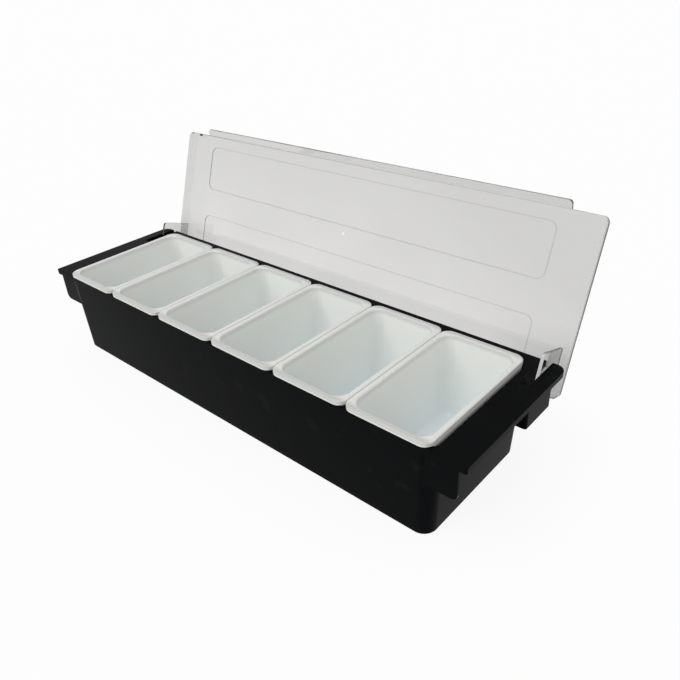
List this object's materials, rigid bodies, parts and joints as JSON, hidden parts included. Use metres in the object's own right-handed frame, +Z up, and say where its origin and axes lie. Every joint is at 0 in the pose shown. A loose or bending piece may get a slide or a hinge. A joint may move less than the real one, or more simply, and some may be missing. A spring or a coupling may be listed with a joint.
{
  "type": "condiment caddy",
  "caption": "Long open tray with hand grips at its ends, holding lift-out tubs in a row under one full-length clear lid that is hinged along the back edge.",
  "frame": {"origin": "centre of the tray's flat foot, on the surface it stands on", "axes": "+X along the tray's length, +Y from the front to the hinged back edge, +Z up"},
  "size_m": [0.495, 0.1974, 0.1874],
  "materials": {
    "tray_plastic": "glossy black moulded plastic",
    "insert_plastic": "glossy milky white moulded plastic",
    "clear_plastic": "clear moulded plastic, very slightly grey"
  },
  "bodies": {
    "tray": {"tray": "tray_plastic"},
    "lid": {"lid": "clear_plastic"},
    "insert_1": {"insert_1": "insert_plastic"},
    "insert_2": {"insert_2": "insert_plastic"},
    "insert_3": {"insert_3": "insert_plastic"},
    "insert_4": {"insert_4": "insert_plastic"},
    "insert_5": {"insert_5": "insert_plastic"},
    "insert_6": {"insert_6": "insert_plastic"}
  },
  "joints": [
    {"name": "lid_hinge", "type": "hinge", "parent": "tray", "child": "lid", "pos_m": [0, 0.0671, 0.0636], "axis": [-1, 0, 0], "range_deg": [-109, 0]},
    {"name": "insert_1_lift", "type": "slide", "parent": "tray", "child": "insert_1", "axis": [0, 0, 1], "range_m": [0, 0.09]},
    {"name": "insert_2_lift", "type": "slide", "parent": "tray", "child": "insert_2", "axis": [0, 0, 1], "range_m": [0, 0.09]},
    {"name": "insert_3_lift", "type": "slide", "parent": "tray", "child": "insert_3", "axis": [0, 0, 1], "range_m": [0, 0.09]},
    {"name": "insert_4_lift", "type": "slide", "parent": "tray", "child": "insert_4", "axis": [0, 0, 1], "range_m": [0, 0.09]},
    {"name": "insert_5_lift", "type": "slide", "parent": "tray", "child": "insert_5", "axis": [0, 0, 1], "range_m": [0, 0.09]},
    {"name": "insert_6_lift", "type": "slide", "parent": "tray", "child": "insert_6", "axis": [0, 0, 1], "range_m": [0, 0.09]}
  ]
}
